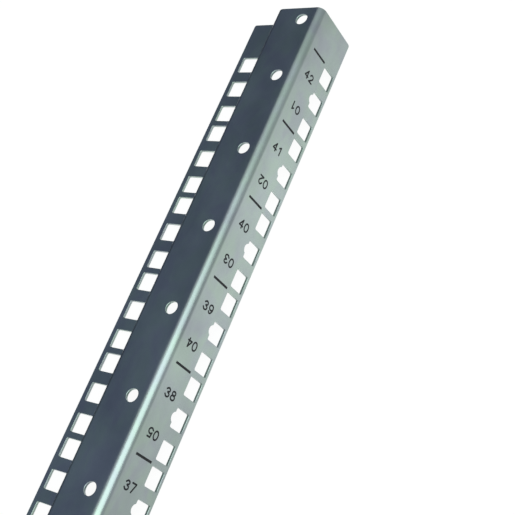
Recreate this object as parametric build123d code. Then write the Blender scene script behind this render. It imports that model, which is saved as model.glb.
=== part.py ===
import os
from math import atan2, degrees

from build123d import *

# Sheet steel and its folded section, measured on the outer faces, in millimetres.
sheet = 1.5
bend_inside = 2.5
bend_outside = bend_inside + sheet
flange_depth = 31.5
crown_width = 29.5
step_depth = 12.0
brim_width = 22.0
brim_edge = crown_width + brim_width
corner_round = 1.2

# Rack units along the rail.
rack_unit = 44.45
units = 42
end_margin = 21.0
span = units * rack_unit
length = span + 2 * end_margin

# Square mounting holes: three to a unit, level with each other on the flange and the brim.
square_side = 9.5
first_height = 6.35
hole_step = 15.875
square_heights = [first_height + step * hole_step for step in range(3)]
flange_edge_to_row = 6.5
brim_edge_to_row = 7.75
flange_row = -flange_depth + flange_edge_to_row
brim_row = brim_edge - brim_edge_to_row

# Locating notch on the bend side of each unit's middle flange hole.
notch_radius = 2.6
notch_reach = 1.8

# Round holes along the crown: one to a unit, and one more beyond each end unit.
round_diameter = 6.5
crown_row = 10.5
round_height = square_heights[1]
end_hole_beyond = 13.5

# The rail lies on the free edges of its flange and its brim.
rest_tilt = atan2(flange_depth - step_depth - sheet, brim_edge - sheet)


def section():
    """Folded sheet with its crown on top and the numbered flange at the left."""
    brim_top = -step_depth
    brim_underside = brim_top - sheet
    step_inside = crown_width - sheet
    with BuildSketch(Plane.YZ) as folded:
        with BuildLine():
            Polyline(
                (0, -flange_depth),
                (0, 0),
                (crown_width, 0),
                (crown_width, brim_top),
                (brim_edge, brim_top),
                (brim_edge, brim_underside),
                (step_inside, brim_underside),
                (step_inside, -sheet),
                (sheet, -sheet),
                (sheet, -flange_depth),
                close=True,
            )
        make_face()
        outside = [(0, 0), (crown_width, 0), (step_inside, brim_underside)]
        inside = [(sheet, -sheet), (step_inside, -sheet), (crown_width, brim_top)]
        fillet(vertices_at(folded.vertices(), outside), bend_outside)
        fillet(vertices_at(folded.vertices(), inside), bend_inside)
    return folded.sketch


def vertices_at(vertices, places):
    """The section's vertices that lie at the given places across and up."""
    return [
        vertex
        for vertex in vertices
        if any(abs(vertex.Y - across) + abs(vertex.Z - up) < 1e-6 for across, up in places)
    ]


def along(heights):
    """Places along the rail, from its middle, of heights that repeat in every unit."""
    return [unit * rack_unit + height - span / 2 for unit in range(units) for height in heights]


def square_holes(face, row):
    """Punches for one row of plain square holes through the sheet below a face."""
    with BuildSketch(face) as outline:
        with Locations(*[(place, row) for place in along(square_heights)]):
            Rectangle(square_side, square_side)
    return extrude(outline.sketch, amount=-sheet)


def locating_notches(face, row):
    """Punches for the notches, which open into the middle holes on the bend side."""
    notch_centre = row + square_side / 2 + notch_reach - notch_radius
    with BuildSketch(face) as outline:
        with Locations(*[(place, notch_centre) for place in along(square_heights[1:2])]):
            Circle(notch_radius)
    return extrude(outline.sketch, amount=-sheet)


def round_holes(face):
    """Punches for the row of round holes along the crown."""
    end_places = [side * (span / 2 + end_hole_beyond) for side in (-1, 1)]
    places = along([round_height]) + end_places
    with BuildSketch(face) as outline:
        with Locations(*[(place, crown_row) for place in places]):
            Circle(round_diameter / 2)
    return extrude(outline.sketch, amount=-sheet)


def free_corners(rail):
    """Short edges through the sheet at the four free corners of the rail."""
    flange_corners = [
        edge
        for edge in rail.edges().filter_by(Axis.Y)
        if abs(edge.center().Z + flange_depth) < 1e-6
    ]
    brim_corners = [
        edge
        for edge in rail.edges().filter_by(Axis.Z)
        if abs(edge.center().Y - brim_edge) < 1e-6
    ]
    return flange_corners + brim_corners


def mounting_rail():
    rail = extrude(section(), amount=length / 2, both=True)
    rail = fillet(free_corners(rail), corner_round)

    flange_face = Plane(origin=(0, 0, 0), x_dir=(1, 0, 0), z_dir=(0, -1, 0))
    crown_face = Plane(origin=(0, 0, 0), x_dir=(1, 0, 0), z_dir=(0, 0, 1))
    brim_face = crown_face.offset(-step_depth)
    rail -= square_holes(flange_face, flange_row)
    rail -= locating_notches(flange_face, flange_row)
    rail -= square_holes(brim_face, brim_row)
    rail -= round_holes(crown_face)

    tilted = rail.rotate(Axis.X, degrees(-rest_tilt))
    box = tilted.bounding_box()
    return tilted.translate((0, -box.center().Y, -box.min.Z))


os.makedirs("parts", exist_ok=True)
export_step(mounting_rail(), "parts/mounting_rail.step")
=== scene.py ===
from math import atan2, pi, radians, sin

import bmesh
import bpy
from mathutils import Matrix, Vector


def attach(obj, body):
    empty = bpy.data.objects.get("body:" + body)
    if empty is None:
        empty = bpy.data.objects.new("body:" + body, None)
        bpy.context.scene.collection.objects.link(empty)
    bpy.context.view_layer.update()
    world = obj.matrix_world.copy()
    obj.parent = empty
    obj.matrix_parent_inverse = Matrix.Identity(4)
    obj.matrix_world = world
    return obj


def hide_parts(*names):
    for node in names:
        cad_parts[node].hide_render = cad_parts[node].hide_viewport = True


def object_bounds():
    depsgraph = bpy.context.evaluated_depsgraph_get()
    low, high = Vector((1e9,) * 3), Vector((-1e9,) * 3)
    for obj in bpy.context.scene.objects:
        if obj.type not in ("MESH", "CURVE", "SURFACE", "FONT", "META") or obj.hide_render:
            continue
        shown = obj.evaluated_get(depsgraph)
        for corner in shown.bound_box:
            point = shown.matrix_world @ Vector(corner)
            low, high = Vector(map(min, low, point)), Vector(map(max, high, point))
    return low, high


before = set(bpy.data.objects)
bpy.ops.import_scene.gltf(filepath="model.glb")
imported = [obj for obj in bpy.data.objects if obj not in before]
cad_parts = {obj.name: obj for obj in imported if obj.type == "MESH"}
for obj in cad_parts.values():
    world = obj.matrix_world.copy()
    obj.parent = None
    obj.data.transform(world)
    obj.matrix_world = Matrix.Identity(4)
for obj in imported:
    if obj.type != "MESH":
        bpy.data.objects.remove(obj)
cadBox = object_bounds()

mm = 0.001
slack = 1e-4              # far below any size of the rail, in millimetres
mergeReach = 1e-3


# helpers that the pieces share
def addPiece(bm, name, *materials):
    mesh = bpy.data.meshes.new(name)
    bm.to_mesh(mesh)
    bm.free()
    for material in materials:
        mesh.materials.append(material)
    piece = bpy.data.objects.new(name, mesh)
    bpy.context.scene.collection.objects.link(piece)
    return piece


def copyInto(target, source, matrix):
    mesh = bpy.data.meshes.new("copied")
    source.to_mesh(mesh)
    mesh.transform(matrix)
    target.from_mesh(mesh)
    bpy.data.meshes.remove(mesh)


def corners(part):
    places = [vert.co for vert in part.verts]
    lowest = Vector([min(place[axis] for place in places) for axis in range(3)])
    highest = Vector([max(place[axis] for place in places) for axis in range(3)])
    return lowest, highest


def newMaterial(name):
    material = bpy.data.materials.new(name)
    material.use_nodes = True
    return material


def feed(owner, node, inputs):
    for name, value in inputs.items():
        if isinstance(value, bpy.types.NodeSocket):
            owner.node_tree.links.new(value, node.inputs[name])
        else:
            node.inputs[name].default_value = value


def addNode(owner, kind, place, inputs, **properties):
    # an input is either a value or another node's output
    node = owner.node_tree.nodes.new(kind)
    node.location = place
    for name, value in properties.items():
        setattr(node, name, value)
    feed(owner, node, inputs)
    return node


def addRange(owner, place, value, source, result, **properties):
    inputs = {
        "Value": value,
        "From Min": source[0],
        "From Max": source[1],
        "To Min": result[0],
        "To Max": result[1],
    }
    return addNode(owner, "ShaderNodeMapRange", place, inputs, **properties).outputs["Result"]


def addMath(owner, place, operation, *terms):
    node = addNode(owner, "ShaderNodeMath", place, dict(enumerate(terms)), operation=operation)
    return node.outputs["Value"]


def addNoise(owner, place, vector, settings):
    return addNode(owner, "ShaderNodeTexNoise", place, {"Vector": vector, **settings}).outputs["Fac"]


def addRamp(owner, place, factor, stops):
    node = addNode(owner, "ShaderNodeValToRGB", place, {"Fac": factor})
    elements = node.color_ramp.elements
    for element, stop in ((elements[0], stops[0]), (elements[-1], stops[-1])):
        element.position, element.color = stop
    for position, colour in stops[1:-1]:
        elements.new(position).color = colour
    return node.outputs["Color"]


# the rail: a flat blank is punched, folded and laid down, in millimetres until it is done
railSizes = {
    "sheet": 1.5,
    "bendInside": 2.5,
    "bendSteps": 8,
    "flangeDepth": 31.5,
    "crownWidth": 29.5,
    "stepDepth": 12.0,
    "brimWidth": 22.0,
    "unit": 44.45,
    "units": 42,
    "endMargin": 21.0,
    "cornerRound": 1.2,
    "cornerSteps": 6,
    "squareSide": 9.5,
    "squareRound": 0.7,
    "squareSteps": 3,
    "squareHeights": (6.35, 22.225, 38.1),
    "flangeEdgeToRow": 6.5,
    "brimEdgeToRow": 7.75,
    "notchRadius": 2.6,
    "notchReach": 1.8,
    "notchSteps": 8,
    "roundDiameter": 6.5,
    "roundSteps": 28,
    "crownRow": 10.5,
    "endHoleBeyond": 13.5,
    "land": 5.5,              # half the width of the flat patch that is kept round each hole
    "cutRound": 0.33,         # round left on every cut edge
    "cutSteps": 2,
    "cutAngle": 40,           # only edges sharper than this are cut ones
}

uprightPlane = Matrix.Rotation(radians(90), 4, "X")     # from the ground to the blank's own plane


def blankLayout(sizes):
    # distances across the blank, from the free edge of the flange to the free edge of the brim
    inside, land, steps = sizes["bendInside"], sizes["land"], sizes["bendSteps"]
    outside = inside + sizes["sheet"]
    wide, tight = [2 * radius * sin(pi / 4 / steps) for radius in (outside, inside)]
    crownRow = sizes["crownRow"] - outside
    brimEnd = sizes["brimWidth"] - inside
    flange = [0.0, sizes["flangeEdgeToRow"] + land + sizes["notchReach"], sizes["flangeDepth"] - outside]
    crown = [crownRow - land, crownRow + land, sizes["crownWidth"] - 2 * outside]
    step = [sizes["stepDepth"] - outside - inside]
    brim = [brimEnd - sizes["brimEdgeToRow"] - land, brimEnd]
    rows = list(flange)
    folds = []
    for strip, chord, turn in ((crown, wide, -1), (step, wide, -1), (brim, tight, 1)):
        start = rows[-1]
        folds.append((start, chord, turn))
        rows += [start + chord * (i + 1) for i in range(steps)]
        rows += [rows[-1] + place for place in strip]
    centres = {
        "flange": sizes["flangeEdgeToRow"],
        "crown": flange[-1] + wide * steps + crownRow,
        "brim": rows[-1] - sizes["brimEdgeToRow"],
    }
    return rows, folds, centres


def growEdges(bm, edges, move):
    grown = bmesh.ops.extrude_edge_only(bm, edges=edges)["geom"]
    verts = [part for part in grown if isinstance(part, bmesh.types.BMVert)]
    bmesh.ops.translate(bm, verts=verts, vec=move)
    return [part for part in grown if isinstance(part, bmesh.types.BMEdge)]


def gridBlank(columns, rows):
    bm = bmesh.new()
    bmesh.ops.create_vert(bm, co=(columns[0], 0, rows[0]))
    last = bm.verts[:]
    for before, after in zip(columns, columns[1:]):
        last = bmesh.ops.extrude_vert_indiv(bm, verts=last)["verts"]
        bmesh.ops.translate(bm, verts=last, vec=(after - before, 0, 0))
    line = bm.edges[:]
    for before, after in zip(rows, rows[1:]):
        line = growEdges(bm, line, (0, 0, after - before))
    return bm


def roundHole(bm, sizes):
    bmesh.ops.create_circle(
        bm, segments=sizes["roundSteps"], radius=sizes["roundDiameter"] / 2, matrix=uprightPlane,
    )


def roundCorners(bm, verts, radius, steps):
    bmesh.ops.bevel(
        bm, geom=verts, offset=radius, offset_type="OFFSET", affect="VERTICES",
        segments=steps, profile=0.5, material=-1, clamp_overlap=True,
    )


def squareHole(bm, sizes):
    half = sizes["squareSide"] / 2
    verts = bmesh.ops.create_grid(bm, x_segments=1, y_segments=1, size=half, matrix=uprightPlane)["verts"]
    roundCorners(bm, verts, sizes["squareRound"], sizes["squareSteps"])
    bmesh.ops.delete(bm, geom=bm.faces[:], context="FACES_ONLY")


def keyedHole(bm, sizes):
    # the notch is an arc swung from one point of the square's upper side to the other
    squareHole(bm, sizes)
    half, radius = sizes["squareSide"] / 2, sizes["notchRadius"]
    centre = half + sizes["notchReach"] - radius
    reach = (radius**2 - (half - centre) ** 2) ** 0.5
    for place in (-reach, reach):
        ends = [vert for vert in bm.verts if vert.co.z > half - slack]
        side = [edge for edge in bm.edges if all(vert in ends for vert in edge.verts)]
        bmesh.ops.bisect_plane(
            bm, geom=ends + side, dist=slack / 10, plane_co=(place, 0, 0), plane_no=(1, 0, 0),
        )
    mouth = next(
        edge for edge in bm.edges
        if all(vert.co.z > half - slack and abs(vert.co.x) < reach + slack for vert in edge.verts)
    )
    start = min(mouth.verts, key=lambda vert: vert.co.x)
    bmesh.ops.delete(bm, geom=[mouth], context="EDGES")
    sweep = 2 * atan2(reach, half - centre)
    bmesh.ops.spin(
        bm, geom=[start], cent=(0, 0, centre), axis=(0, 1, 0), angle=sweep, steps=sizes["notchSteps"],
    )
    bmesh.ops.remove_doubles(bm, verts=bm.verts, dist=mergeReach)


def covers(face, column, row):
    low, high = corners(face)
    return low.x < column < high.x and low.z < row < high.z


def punch(bm, makeHole, column, row, sizes):
    # the patch of the blank that lies there makes way for one with the hole in it
    patch = next(face for face in bm.faces if covers(face, column, row))
    low, high = corners(patch)
    bmesh.ops.delete(bm, geom=[patch], context="FACES_ONLY")
    holed = bmesh.new()
    makeHole(holed, sizes)
    bmesh.ops.translate(holed, verts=holed.verts, vec=(column, 0, row))
    size = Matrix.Diagonal((high.x - low.x, 1, high.z - low.z, 1))
    place = Matrix.Translation((low + high) / 2) @ size @ uprightPlane
    bmesh.ops.create_grid(holed, x_segments=1, y_segments=1, size=0.5, matrix=place)
    bmesh.ops.delete(holed, geom=holed.faces[:], context="FACES_ONLY")
    bmesh.ops.triangle_fill(
        holed, use_beauty=True, use_dissolve=False, edges=holed.edges[:], normal=(0, -1, 0),
    )
    copyInto(bm, holed, Matrix.Identity(4))
    holed.free()


def fold(bm, folds, steps):
    # every bend turns what lies past it a little at each of its lines, as a press brake does
    developed = bm.verts.layers.float.new("developed")
    for vert in bm.verts:
        vert[developed] = vert.co.z
    for start, chord, turn in folds:
        for i in range(steps + 1):
            line = start + chord * i
            share = 0.5 if i in (0, steps) else 1.0
            beyond = [vert for vert in bm.verts if vert[developed] > line + slack]
            hinge = next(vert.co.copy() for vert in bm.verts if abs(vert[developed] - line) < slack)
            bend = Matrix.Rotation(turn * share * pi / 2 / steps, 3, "X")
            bmesh.ops.rotate(bm, cent=(0, hinge.y, hinge.z), matrix=bend, verts=beyond)
    bm.verts.layers.float.remove(developed)


def foldedLength(columns, marks, sizes):
    rows, folds, centres = blankLayout(sizes)
    bm = gridBlank(columns, rows)
    for makeHole, strip, column in marks:
        punch(bm, makeHole, column, centres[strip], sizes)
    bmesh.ops.remove_doubles(bm, verts=bm.verts, dist=mergeReach)
    fold(bm, folds, sizes["bendSteps"])
    bmesh.ops.translate(bm, verts=bm.verts, vec=(0, 0, -sizes["flangeDepth"]))
    return bm


def unitLength(sizes):
    heights, land = sizes["squareHeights"], sizes["land"]
    middle = heights[1]
    columns = [0.0, sizes["unit"]] + [height + side * land for height in heights for side in (-1, 1)]
    marks = [(keyedHole if height == middle else squareHole, "flange", height) for height in heights]
    marks += [(squareHole, "brim", height) for height in heights]
    marks += [(roundHole, "crown", middle)]
    return foldedLength(sorted(columns), marks, sizes)


def endLength(sizes):
    beyond, land, end = sizes["endHoleBeyond"], sizes["land"], sizes["endMargin"]
    bm = foldedLength([0.0, beyond - land, beyond + land, end], [(roundHole, "crown", beyond)], sizes)
    low, high = corners(bm)
    free = [
        vert for vert in bm.verts
        if vert.co.x > end - slack and (vert.co.z < low.z + slack or vert.co.y > high.y - slack)
    ]
    roundCorners(bm, free, sizes["cornerRound"], sizes["cornerSteps"])
    return bm


def restMatrix(sizes):
    # crown up, resting on the free edges of the flange and the brim, centred on the CAD box
    sheet, depth = sizes["sheet"], sizes["flangeDepth"]
    brimEdge = sizes["crownWidth"] + sizes["brimWidth"]
    drop = depth - sizes["stepDepth"] - sheet
    tilt = Matrix.Rotation(-atan2(drop, brimEdge - sheet), 4, "X")
    foot = tilt @ Vector((0, sheet, -depth)) * mm
    left = tilt @ Vector((0, 0, -depth)) * mm
    return Matrix.Translation((0, cadBox[0].y - left.y, cadBox[0].z - foot.z)) @ tilt


def finishSheet(rail, sizes):
    # the cut faces get a painted shade, a darker copy of the zinc that is also rougher, and their rounded
    # edges keep the rolled zinc and shine
    wall = rail.modifiers.new("wall", "SOLIDIFY")
    wall.thickness = sizes["sheet"] * mm
    wall.offset = -1
    wall.use_even_offset = True
    wall.material_offset_rim = 1
    edges = rail.modifiers.new("cutEdges", "BEVEL")
    edges.width = sizes["cutRound"] * mm
    edges.segments = sizes["cutSteps"]
    edges.material = 0
    edges.limit_method = "ANGLE"
    edges.angle_limit = radians(sizes["cutAngle"])
    edges.harden_normals = True
    edges.loop_slide = False
    edges.use_clamp_overlap = False


def makeRail(sizes, rolled, cut):
    span = sizes["unit"] * sizes["units"]
    bm = bmesh.new()
    unit = unitLength(sizes)
    for number in range(sizes["units"]):
        copyInto(bm, unit, Matrix.Translation((number * sizes["unit"] - span / 2, 0, 0)))
    end = endLength(sizes)
    for side in (1, -1):
        copyInto(bm, end, Matrix.Translation((side * span / 2, 0, 0)) @ Matrix.Scale(side, 4, (1, 0, 0)))
    unit.free()
    end.free()
    bmesh.ops.remove_doubles(bm, verts=bm.verts, dist=mergeReach)
    bmesh.ops.recalc_face_normals(bm, faces=bm.faces)
    top = max(bm.faces, key=lambda patch: patch.calc_center_median().z)
    if top.normal.z < 0:
        bmesh.ops.reverse_faces(bm, faces=bm.faces)
    for patch in bm.faces:
        patch.smooth = True
    bm.transform(restMatrix(sizes) @ Matrix.Scale(mm, 4))
    rail = addPiece(bm, "foldedRail", rolled, cut)
    finishSheet(rail, sizes)
    return rail


zincLook = {
    "patchColours": (                     # lilac, pale and green
        (0.36, (0.402, 0.452, 0.473, 1)),
        (0.5, (0.415, 0.49, 0.475, 1)),
        (0.62, (0.418, 0.515, 0.464, 1)),
    ),
    "rolledAlong": (0.7, 1, 1),           # patches are a little longer along the rail
    "patches": {"Scale": 75.0, "Detail": 3.0, "Roughness": 0.55, "Distortion": 0.6},
    "clouds": {"Scale": 38.0, "Detail": 4.0, "Roughness": 0.6},
    "grain": {"Scale": 2600.0, "Detail": 2.0, "Roughness": 0.5},
    "grainBump": {"Strength": 0.12, "Distance": 0.00005},
    "cloudSpread": (0.35, 0.65),
    "cloudDepth": (0.91, 1.07),
    "roughness": (0.28, 0.33),
    "cutPaintedShade": 0.6,                      # painted shade: cut faces darker than rolled ones
    "cutRoughness": (0.45, 0.5),
}


def zincPlating(name, look, shade, roughness):
    material = newMaterial(name)
    place = addNode(material, "ShaderNodeTexCoord", (-1400, 0), {})
    inputs = {"Vector": place.outputs["Object"], "Scale": look["rolledAlong"]}
    vector = addNode(material, "ShaderNodeMapping", (-1200, 0), inputs).outputs["Vector"]
    patches = addNoise(material, (-1000, 200), vector, look["patches"])
    clouds = addNoise(material, (-1000, -60), vector, look["clouds"])
    grain = addNoise(material, (-1000, -320), vector, look["grain"])
    colour = addRamp(material, (-760, 200), patches, look["patchColours"])
    depth = [shade * level for level in look["cloudDepth"]]
    scale = addRange(material, (-760, -60), clouds, look["cloudSpread"], depth)
    inputs = {0: colour, "Scale": scale}
    clouded = addNode(material, "ShaderNodeVectorMath", (-440, 120), inputs, operation="SCALE")
    bump = addNode(material, "ShaderNodeBump", (-440, -320), {"Height": grain, **look["grainBump"]})
    feed(material, material.node_tree.nodes["Principled BSDF"], {
        "Metallic": 1.0,
        "Base Color": clouded.outputs["Vector"],
        "Roughness": addRange(material, (-760, -320), clouds, look["cloudSpread"], roughness),
        "Normal": bump.outputs["Normal"],
    })
    return material


rolledZinc = zincPlating("zincPlating", zincLook, 1.0, zincLook["roughness"])
# the cut faces' copy carries a painted shade for the holes' walls
shadedCutZinc = zincPlating("shadedCutZinc", zincLook, zincLook["cutPaintedShade"], zincLook["cutRoughness"])
rail = makeRail(railSizes, rolledZinc, shadedCutZinc)
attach(rail, "root")
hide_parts("mounting_rail")
print("rail folded")


# the printed scale: a line at each unit and its number, read from either end
printSizes = {
    "lineFrom": 6.5,          # below the crown's face
    "lineTo": 18.5,
    "lineWidth": 1.2,
    "lineBelow": 0.8,         # the lines were printed a little below the units' edges
    "digitHeight": 4.1,       # between the middles of the strokes
    "digitWidth": 3.05,
    "digitPitch": 4.35,
    "strokeWidth": 0.88,
    "strokeSteps": 4,
    "dotSides": 10,
    "dotDepth": 0.9,          # of the stroke's width
    "numberAcross": 11.7,
    "numberBelow": 14.6,      # middle of the upright number, below its unit's upper line
    "otherBelow": 34.1,
    "inkThickness": 0.03,
}

# strokes of each digit in a box one wide and one high:
# a line runs straight, a curve is smooth and a ring is closed
digitStrokes = {
    "0": [("ring", [(0.5, 1), (1, 0.5), (0.5, 0), (0, 0.5)])],
    "1": [("line", [(0.22, 0.78), (0.64, 1), (0.64, 0)])],
    "2": [
        ("curve", [(0.04, 0.74), (0.48, 1), (0.92, 0.72), (0.62, 0.38), (0.02, 0)]),
        ("line", [(0.02, 0), (0.98, 0)]),
    ],
    "3": [
        ("curve", [(0.04, 0.82), (0.46, 1), (0.88, 0.76), (0.42, 0.54)]),
        ("curve", [(0.42, 0.54), (0.96, 0.27), (0.46, 0), (0, 0.2)]),
    ],
    "4": [("line", [(0.98, 0.26), (0, 0.26), (0.7, 1), (0.7, 0)])],
    "5": [
        ("line", [(0.88, 1), (0.2, 1), (0.1, 0.5)]),
        ("curve", [(0.1, 0.5), (0.5, 0.64), (0.97, 0.32), (0.46, 0), (0, 0.18)]),
    ],
    "6": [
        ("ring", [(0.5, 0.62), (0.97, 0.31), (0.5, 0), (0.03, 0.31)]),
        ("curve", [(0.9, 0.84), (0.56, 1), (0.1, 0.68), (0.03, 0.31)]),
    ],
    "7": [("line", [(0.02, 1), (0.98, 1), (0.36, 0)])],
    "8": [
        ("ring", [(0.5, 1), (0.9, 0.77), (0.5, 0.54), (0.1, 0.77)]),
        ("ring", [(0.5, 0.54), (0.98, 0.27), (0.5, 0), (0.02, 0.27)]),
    ],
    "9": [
        ("ring", [(0.5, 1), (0.97, 0.69), (0.5, 0.38), (0.03, 0.69)]),
        ("curve", [(0.97, 0.69), (0.9, 0.32), (0.44, 0), (0.1, 0.16)]),
    ],
}


def addBar(curve, ends):
    spline = curve.splines.new("POLY")
    spline.points.add(1)
    for point, place in zip(spline.points, ends):
        point.co = (*place, 1)


def addStroke(curve, places, closed):
    spline = curve.splines.new("BEZIER")
    spline.bezier_points.add(len(places) - 1)
    for point, place in zip(spline.bezier_points, places):
        point.co = place
        point.handle_left_type = "AUTO"
        point.handle_right_type = "AUTO"
    spline.use_cyclic_u = closed


def addDots(mesh, places, sizes):
    radius = sizes["strokeWidth"] / 2
    bm = bmesh.new()
    bm.from_mesh(mesh)
    for place in places:
        bmesh.ops.create_cone(
            bm, cap_ends=True, segments=sizes["dotSides"], radius1=radius, radius2=radius,
            depth=sizes["strokeWidth"] * sizes["dotDepth"], matrix=Matrix.Translation(place),
        )
    bm.to_mesh(mesh)
    bm.free()


def digitMesh(strokes, sizes):
    # every stroke is a four-sided bar along its curve, with a round dot at its ends and corners
    curve = bpy.data.curves.new("strokes", "CURVE")
    curve.dimensions = "3D"
    curve.bevel_depth = sizes["strokeWidth"] / 2
    curve.bevel_resolution = 0
    curve.resolution_u = sizes["strokeSteps"]
    curve.use_fill_caps = True
    width, height = sizes["digitWidth"], sizes["digitHeight"]
    dots = []
    for kind, points in strokes:
        places = [Vector(((x - 0.5) * width, (y - 0.5) * height, 0)) for x, y in points]
        if kind == "line":
            dots += places
            for bar in zip(places, places[1:]):
                addBar(curve, bar)
        else:
            addStroke(curve, places, kind == "ring")
        if kind == "curve":
            dots += [places[0], places[-1]]
    holder = bpy.data.objects.new("strokes", curve)
    mesh = bpy.data.meshes.new_from_object(holder)
    bpy.data.objects.remove(holder)
    bpy.data.curves.remove(curve)
    addDots(mesh, sorted({tuple(dot) for dot in dots}), sizes)
    return mesh


def stampNumber(bm, digits, number, middle, sizes):
    flat = Matrix.Scale(sizes["inkThickness"] / sizes["strokeWidth"], 4, (0, 0, 1))
    for i, digit in enumerate(f"{number:02d}"):
        copy = digits[digit].copy()
        copy.transform(middle @ Matrix.Translation(((i - 0.5) * sizes["digitPitch"], 0, 0)) @ flat)
        bm.from_mesh(copy)
        bpy.data.meshes.remove(copy)


def makePrint(sizes, sheetSizes, ink):
    # on the print x runs away from the bend and y towards the higher unit
    units, unit = sheetSizes["units"], sheetSizes["unit"]
    span = unit * units
    across = sizes["numberAcross"]
    bm = bmesh.new()
    digits = {digit: digitMesh(strokes, sizes) for digit, strokes in digitStrokes.items()}
    for number in range(1, units + 1):
        upperLine = number * unit - span / 2
        middle = Matrix.Translation((across, upperLine - sizes["numberBelow"], 0))
        other = Matrix.Translation((across, upperLine - sizes["otherBelow"], 0))
        stampNumber(bm, digits, number, middle, sizes)
        stampNumber(bm, digits, units + 1 - number, other @ Matrix.Rotation(pi, 4, "Z"), sizes)
    reach = sizes["lineTo"] - sizes["lineFrom"]
    size = Matrix.Diagonal((reach, sizes["lineWidth"], sizes["inkThickness"], 1))
    for number in range(units + 1):
        upward = number * unit - span / 2 - sizes["lineBelow"]
        middle = Matrix.Translation(((sizes["lineFrom"] + sizes["lineTo"]) / 2, upward, 0))
        bmesh.ops.create_cube(bm, size=1.0, matrix=middle @ size)
    for mesh in digits.values():
        bpy.data.meshes.remove(mesh)
    # from the flat print to the outer face of the flange
    onFlange = Matrix(((0, 1, 0, 0), (0, 0, -1, 0), (-1, 0, 0, 0), (0, 0, 0, 1)))
    bm.transform(restMatrix(sheetSizes) @ Matrix.Scale(mm, 4) @ onFlange)
    bmesh.ops.recalc_face_normals(bm, faces=bm.faces)
    for face in bm.faces:
        face.smooth = False
    return addPiece(bm, "unitScale", ink)


inkLook = {
    "wear": {"Scale": 900.0, "Detail": 2.0, "Roughness": 0.6},
    "wearColours": ((0.3, (0.006, 0.007, 0.009, 1)), (0.75, (0.022, 0.025, 0.028, 1))),
    "finish": {"Roughness": 0.6, "Specular IOR Level": 0.3},
}


def printInk(look):
    material = newMaterial("printInk")
    place = addNode(material, "ShaderNodeTexCoord", (-900, 0), {})
    wear = addNoise(material, (-700, 0), place.outputs["Object"], look["wear"])
    colour = addRamp(material, (-460, 0), wear, look["wearColours"])
    feed(material, material.node_tree.nodes["Principled BSDF"], {"Base Color": colour, **look["finish"]})
    return material


unitScale = makePrint(printSizes, railSizes, printInk(inkLook))
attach(unitScale, "root")
print("scale printed")


# floor, backdrop and lights
studio = {
    "floorSize": 40.0,
    "floorGlow": 0.94,
    "floorPaint": (0.07, 0.07, 0.07, 1),
    "mirrorGlow": 0.46,                 # what the metal sees of the floor
    "paintedPoolPlace": (0.846, -0.06, 0),     # a painted pool of light beside the flange, floor glow that the flange mirrors
    "paintedPoolReach": 0.27,
    "paintedPoolGlow": 0.93,
    "paintedUnderFrom": -0.029,                # a painted glow on the floor below the rail, which the holes' walls mirror
    "paintedUnderTo": -0.022,
    "paintedUnderGlow": 0.65,
    "worldLight": 0.75,
    "skyFrom": 0.6,                     # height in the room, where straight overhead is 1
    "skyTo": 0.88,
    "skyLow": 0.5,                      # what the metal sees of the room below and above that height
    "skyHigh": 0.62,
    "skyColour": (0.93, 0.97, 1.02, 1),
    "clothFrom": 0.0285,
    "clothTo": 0.9,
    "clothSize": (6.0, 1.3),
    "clothLift": 0.001,
    "clothColour": (0.096, 0.114, 0.171, 1),
    "clothPaintedNear": (0.8, 1.24),           # painted light: the cloth glows brighter at its near end
    "clothPaintedFar": (1.5, 0.93),
    "clothRise": 0.05,
    "clothLyingShade": 0.35,                 # painted shade: how much darker the cloth glows where it lies on the floor
    "softboxPlace": (0.35, -1.15, 2.0),
    "softboxSize": (2.4, 3.1),
    "softboxPower": 35.5,
    "softboxColour": (0.87, 1.0, 0.935),
}


def seenAndMirrored(owner):
    # 1 or 0 for what the camera sees, straight or through glass, and for what metal mirrors
    path = addNode(owner, "ShaderNodeLightPath", (-900, 300), {})
    rays = [path.outputs["Is Camera Ray"], path.outputs["Is Transmission Ray"]]
    return addMath(owner, (-700, 300), "MAXIMUM", *rays), path.outputs["Is Glossy Ray"]


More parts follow.
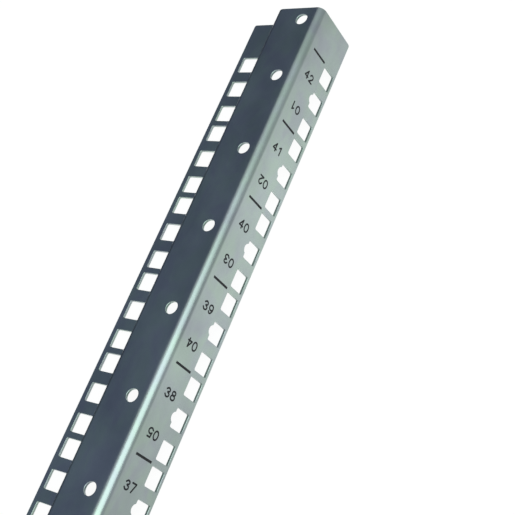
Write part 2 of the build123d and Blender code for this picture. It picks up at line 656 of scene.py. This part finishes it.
def whiteFloor():
    # the camera sees plain white; the metal sees a dimmer floor glow, with a painted pool of light beside
    # the flange and a painted glow below the rail
    material = newMaterial("whiteFloor")
    material.node_tree.nodes.clear()
    direct, glossy = seenAndMirrored(material)
    place = addNode(material, "ShaderNodeTexCoord", (-1500, -100), {}).outputs["Object"]
    inputs = {"Vector": place, "Location": studio["paintedPoolPlace"], "Scale": (studio["paintedPoolReach"],) * 3}
    centred = addNode(material, "ShaderNodeMapping", (-1300, -100), inputs, vector_type="TEXTURE")
    inputs = {"Vector": centred.outputs["Vector"]}
    near = addNode(material, "ShaderNodeTexGradient", (-1100, -100), inputs, gradient_type="SPHERICAL")
    # painted light for the metal to mirror: a glowing patch beside the flange
    glows = (studio["mirrorGlow"], studio["paintedPoolGlow"])
    pool = addRange(
        material, (-900, -100), near.outputs["Fac"], (0, 1), glows, interpolation_type="SMOOTHSTEP",
    )
    # painted glow on the floor below the rail, seen only by the metal
    across = addNode(material, "ShaderNodeSeparateXYZ", (-1100, -360), {"Vector": place}).outputs["Y"]
    edge = (studio["paintedUnderFrom"], studio["paintedUnderTo"])
    under = addRange(
        material, (-900, -360), across, edge, (0, studio["paintedUnderGlow"]), interpolation_type="SMOOTHSTEP",
    )
    lit = addMath(material, (-700, -200), "ADD", pool, under)
    mirrored = addMath(material, (-700, 100), "MULTIPLY", glossy, lit)
    strength = addMath(material, (-500, 200), "MULTIPLY_ADD", direct, studio["floorGlow"], mirrored)
    glow = addNode(material, "ShaderNodeEmission", (-300, 0), {"Strength": strength})
    paint = addNode(material, "ShaderNodeBsdfDiffuse", (-300, -200), {"Color": studio["floorPaint"]})
    both = addNode(material, "ShaderNodeAddShader", (-100, 0), {0: glow.outputs[0], 1: paint.outputs[0]})
    addNode(material, "ShaderNodeOutputMaterial", (100, 0), {"Surface": both.outputs[0]})
    return material


def makeFloor():
    bm = bmesh.new()
    bmesh.ops.create_grid(bm, x_segments=1, y_segments=1, size=studio["floorSize"] / 2)
    addPiece(bm, "floor", whiteFloor())


def darkReflectionCloth():
    material = newMaterial("darkReflectionCloth")
    material.node_tree.nodes.clear()
    place = addNode(material, "ShaderNodeTexCoord", (-800, 0), {}).outputs["Object"]
    parts = addNode(material, "ShaderNodeSeparateXYZ", (-600, 0), {"Vector": place})
    # painted shade where the cloth lies and painted light towards its near end
    paintedLyingShade = addRange(
        material, (-400, 0), parts.outputs["Z"], (0, studio["clothRise"]), (studio["clothLyingShade"], 1),
    )
    reach, levels = zip(studio["clothPaintedNear"], studio["clothPaintedFar"])
    paintedFalloff = addRange(material, (-400, -300), parts.outputs["X"], reach, levels)
    strength = addMath(material, (-200, -200), "MULTIPLY", paintedLyingShade, paintedFalloff)
    inputs = {"Color": studio["clothColour"], "Strength": strength}
    glow = addNode(material, "ShaderNodeEmission", (-200, 0), inputs)
    addNode(material, "ShaderNodeOutputMaterial", (0, 0), {"Surface": glow.outputs[0]})
    return material


def makeCloth():
    # a dark glowing sheet that paints a dark reflection in the crown: it lies beside the rail and hangs
    # behind it, and only reflections show it
    width, height = studio["clothSize"]
    start, lift = studio["clothFrom"], studio["clothLift"]
    bm = bmesh.new()
    ends = [bmesh.ops.create_vert(bm, co=(side * width / 2, start, lift))["vert"][0] for side in (-1, 1)]
    bmesh.ops.contextual_create(bm, geom=ends)
    lying = growEdges(bm, bm.edges[:], (0, studio["clothTo"] - start, 0))
    growEdges(bm, lying, (0, 0, height))
    cloth = addPiece(bm, "darkReflectionCloth", darkReflectionCloth())
    cloth.visible_camera = False
    cloth.visible_diffuse = False
    cloth.visible_shadow = False
    cloth.visible_transmission = False


def makeSoftbox():
    light = bpy.data.lights.new("softbox", "AREA")
    light.shape = "RECTANGLE"
    light.size, light.size_y = studio["softboxSize"]
    light.energy = studio["softboxPower"]
    light.color = studio["softboxColour"]
    holder = bpy.data.objects.new("softbox", light)
    holder.location = studio["softboxPlace"]
    bpy.context.scene.collection.objects.link(holder)


def makeWorld():
    # plain white for the camera; for the metal the room is dimmer, least so overhead
    world = bpy.data.worlds.new("studio")
    world.use_nodes = True
    bpy.context.scene.world = world
    direct, glossy = seenAndMirrored(world)
    place = addNode(world, "ShaderNodeTexCoord", (-1100, -100), {}).outputs["Generated"]
    height = addNode(world, "ShaderNodeSeparateXYZ", (-900, -100), {"Vector": place}).outputs["Z"]
    heights, levels = (studio["skyFrom"], studio["skyTo"]), (studio["skyLow"], studio["skyHigh"])
    sky = addRange(world, (-700, -100), height, heights, levels, interpolation_type="SMOOTHSTEP")
    inputs = {"Factor": glossy, "A": studio["worldLight"], "B": sky}
    mirrored = addNode(world, "ShaderNodeMix", (-500, 0), inputs, data_type="FLOAT").outputs["Result"]
    inputs = {"Factor": direct, "A": mirrored, "B": 1.0}
    strength = addNode(world, "ShaderNodeMix", (-300, 100), inputs, data_type="FLOAT").outputs["Result"]
    # the Mix node's colours are its seventh and eighth inputs and its third output
    inputs = {0: direct, 6: studio["skyColour"], 7: (1, 1, 1, 1)}
    tint = addNode(world, "ShaderNodeMix", (-300, -100), inputs, data_type="RGBA").outputs[2]
    feed(world, world.node_tree.nodes["Background"], {"Strength": strength, "Color": tint})


makeFloor()
makeCloth()
makeSoftbox()
makeWorld()
print("studio lit")


# the camera stands above the flange's side and looks along the last units
cameraSettings = {
    "place": (0.64421, -0.19471, 0.45986),
    "target": (0.81624, -0.03341, 0.01897),
    "roll": -23.65,
    "lens": 74.14,
    "sensor": 36.0,
    "clip": (0.01, 100),
}


def makeCamera(settings):
    camera = bpy.data.cameras.new("camera")
    camera.lens = settings["lens"]
    camera.sensor_width = settings["sensor"]
    camera.clip_start, camera.clip_end = settings["clip"]
    holder = bpy.data.objects.new("camera", camera)
    place, target = Vector(settings["place"]), Vector(settings["target"])
    aim = (target - place).to_track_quat("-Z", "Y").to_matrix().to_4x4()
    roll = Matrix.Rotation(radians(settings["roll"]), 4, "Z")
    holder.matrix_world = Matrix.Translation(place) @ aim @ roll
    bpy.context.scene.collection.objects.link(holder)
    bpy.context.scene.camera = holder


makeCamera(cameraSettings)
bpy.context.scene.view_settings.view_transform = "Standard"
print("camera placed")
